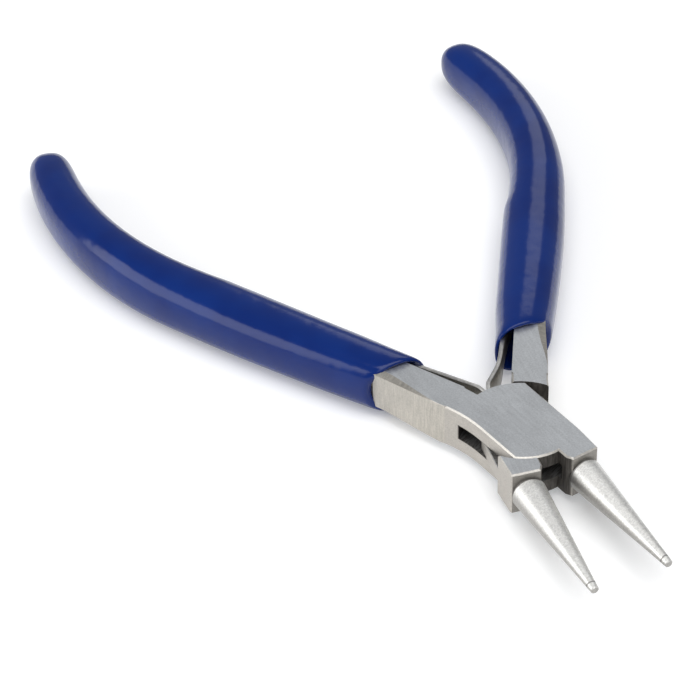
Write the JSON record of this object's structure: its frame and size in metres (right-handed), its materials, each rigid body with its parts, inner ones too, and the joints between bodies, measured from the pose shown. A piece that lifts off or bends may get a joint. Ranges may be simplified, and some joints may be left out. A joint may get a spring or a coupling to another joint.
{
  "type": "round nose pliers",
  "caption": "Round nose pliers with a box joint, slim tapered cone jaws, twin leaf springs and dipped plastic grips, standing open at rest.",
  "frame": {"origin": "on the pivot axis, at the underside of the lower cheek", "axes": "+Z along the pivot axis, out of the upper cheek; +Y from the pivot towards the handles, in the plane of symmetry; +X towards the right handle, seen from above with the jaws pointing down the page"},
  "size_m": [0.0824, 0.1242, 0.0097],
  "materials": {
    "tool_steel": "satin ground",
    "rivet_steel": "ground flush",
    "spring_steel": "mottled rolled strip",
    "grip_vinyl": "glossy dipped plastic"
  },
  "bodies": {
    "outer_half": {"outer_half": "tool_steel", "pivot_rivet": "rivet_steel", "left_grip": "grip_vinyl", "left_spring_rivet": "rivet_steel"},
    "inner_half": {"inner_half": "tool_steel", "right_grip": "grip_vinyl", "right_spring_rivet": "rivet_steel"},
    "left_leaf": {"left_leaf_spring": "spring_steel"},
    "right_leaf": {"right_leaf_spring": "spring_steel"}
  },
  "joints": [
    {"name": "jaw_pivot", "type": "hinge", "parent": "outer_half", "child": "inner_half", "pos_m": [0, 0, 0.00337], "axis": [0, 0, 1], "range_deg": [-6, 18.2], "stiffness_Nm_per_rad": 2.5},
    {"name": "left_leaf_flex", "type": "hinge", "parent": "outer_half", "child": "left_leaf", "pos_m": [-0.01376, 0.02803, 0.00337], "axis": [0, 0, 1], "range_deg": [-4.6, 1.8], "deforming": ["left_leaf_spring"]},
    {"name": "right_leaf_flex", "type": "hinge", "parent": "inner_half", "child": "right_leaf", "pos_m": [0.01376, 0.02803, 0.00337], "axis": [0, 0, 1], "range_deg": [-1.8, 4.6], "deforming": ["right_leaf_spring"]}
  ],
  "couplings": [
    {"joint": "left_leaf_flex", "follows": "jaw_pivot", "ratio": -0.2403},
    {"joint": "right_leaf_flex", "follows": "jaw_pivot", "ratio": 0.2403}
  ]
}
